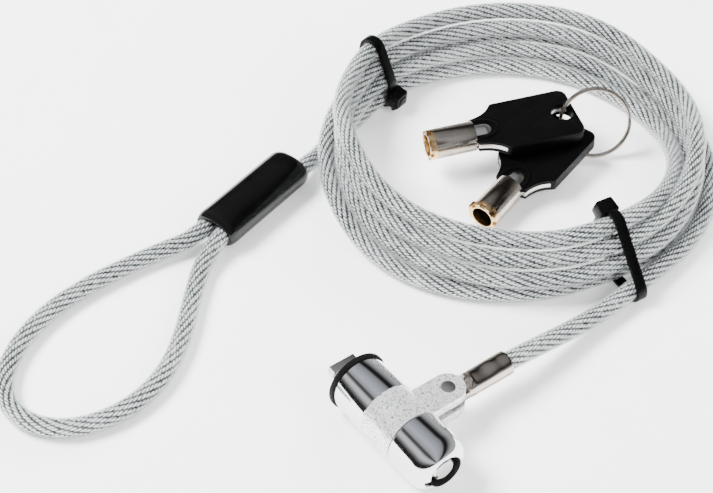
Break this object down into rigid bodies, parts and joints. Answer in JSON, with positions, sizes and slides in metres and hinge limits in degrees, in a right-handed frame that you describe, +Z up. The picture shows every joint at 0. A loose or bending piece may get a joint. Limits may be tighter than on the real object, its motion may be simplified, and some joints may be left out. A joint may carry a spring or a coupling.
{
  "type": "laptop cable lock",
  "caption": "Cable lock with a turning T head, a tubular keyway, a swivelling clevis collar, a coiled clear-jacketed cable with a sleeved end loop, and tubular keys on a split ring.",
  "frame": {"origin": "Centre of the gasket's rear face, on the lock's axis, where the lock meets the device. The surface all of it lies on is 6.9 mm below.", "axes": "+X runs along the lock's axis from the gasket to the keyway, +Z is up from the surface, +Y is toward the clevis, the cable and the coil."},
  "size_m": [0.1136, 0.1849, 0.0238],
  "materials": {
    "gasket": "matte black rubber washer",
    "chrome_shell": "polished bright chrome plating",
    "steel": "plain machined steel",
    "brass": "turned brass",
    "nickel": "pale nickel plating, slightly warm",
    "zinc": "granular cast zinc with a bright sparkle",
    "cable": "glossy clear jacket over galvanised wire rope",
    "crimp": "pressed aluminium",
    "sleeve": "glossy black moulded sleeve",
    "tie": "black nylon",
    "key_metal": "bright nickel plating, worn to brass at the key's rim",
    "grip": "satin black moulded plastic"
  },
  "bodies": {
    "cable": {"cable_end_ferrule": "nickel", "cable_lead": "cable", "cable_coil": "cable", "cable_loop": "cable", "loop_crimp": "crimp", "loop_sleeve": "sleeve", "cable_tie_left": "tie", "cable_tie_right": "tie"},
    "collar": {"swivel_collar": "zinc", "clevis_rivet": "steel"},
    "lock_body": {"rear_barrel": "chrome_shell", "rubber_gasket": "gasket", "front_cap": "chrome_shell", "inner_sleeve": "steel", "slot_guides": "steel", "pin_chamber": "brass", "chamber_pin": "steel", "driver_pins": "steel", "pin_springs": "steel"},
    "plug": {"key_plug": "brass", "key_pins": "brass", "t_bar_spindle": "nickel", "spindle_clip": "steel"},
    "ring": {"key_ring": "key_metal"},
    "key_1": {"key_1_tube": "key_metal", "key_1_core": "key_metal", "key_1_grip": "grip"},
    "key_2": {"key_2_tube": "key_metal", "key_2_core": "key_metal", "key_2_grip": "grip"}
  },
  "joints": [
    {"name": "clevis_pivot", "type": "hinge", "parent": "cable", "child": "collar", "pos_m": [0.0153, 0.0125, 0], "axis": [0, 0, 1], "range_deg": [-90, 90]},
    {"name": "collar_swivel", "type": "hinge", "parent": "collar", "child": "lock_body", "pos_m": [0.0153, 0, 0], "axis": [1, 0, 0], "continuous": true},
    {"name": "key_turn", "type": "hinge", "parent": "lock_body", "child": "plug", "pos_m": [0.017, 0, 0], "axis": [1, 0, 0], "range_deg": [0, 90]},
    {"name": "ring_lift", "type": "slide", "parent": "cable", "child": "ring", "axis": [0, 0, 1], "range_m": [0, 0.06]},
    {"name": "key_1_swing", "type": "hinge", "parent": "ring", "child": "key_1", "pos_m": [-0.0353, 0.0883, 0], "axis": [0, 0, 1], "range_deg": [-25, 0]},
    {"name": "key_2_swing", "type": "hinge", "parent": "ring", "child": "key_2", "pos_m": [-0.0338, 0.0875, 0], "axis": [0, 0, 1], "range_deg": [0, 25]}
  ]
}
